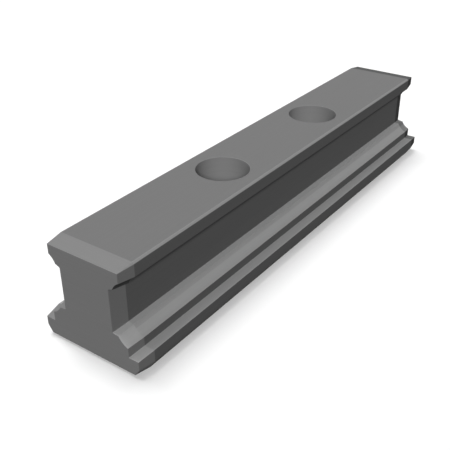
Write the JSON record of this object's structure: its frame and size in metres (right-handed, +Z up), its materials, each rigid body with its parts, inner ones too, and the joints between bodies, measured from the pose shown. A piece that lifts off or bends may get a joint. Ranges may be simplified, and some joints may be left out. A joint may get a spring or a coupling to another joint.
{
  "type": "linear guide rail",
  "caption": "Short profiled linear guide rail with a waisted section, ball raceways along both sides, tapered ends and counterbored screw holes.",
  "frame": {"origin": "middle of the base, halfway along and across the rail", "axes": "+X along the rail, +Y across it, +Z up from the base to the head"},
  "size_m": [0.099, 0.02, 0.018],
  "materials": {
    "rail_steel": "fine ground, dark grey"
  },
  "bodies": {
    "root": {"rail": "rail_steel"}
  },
  "joints": []
}
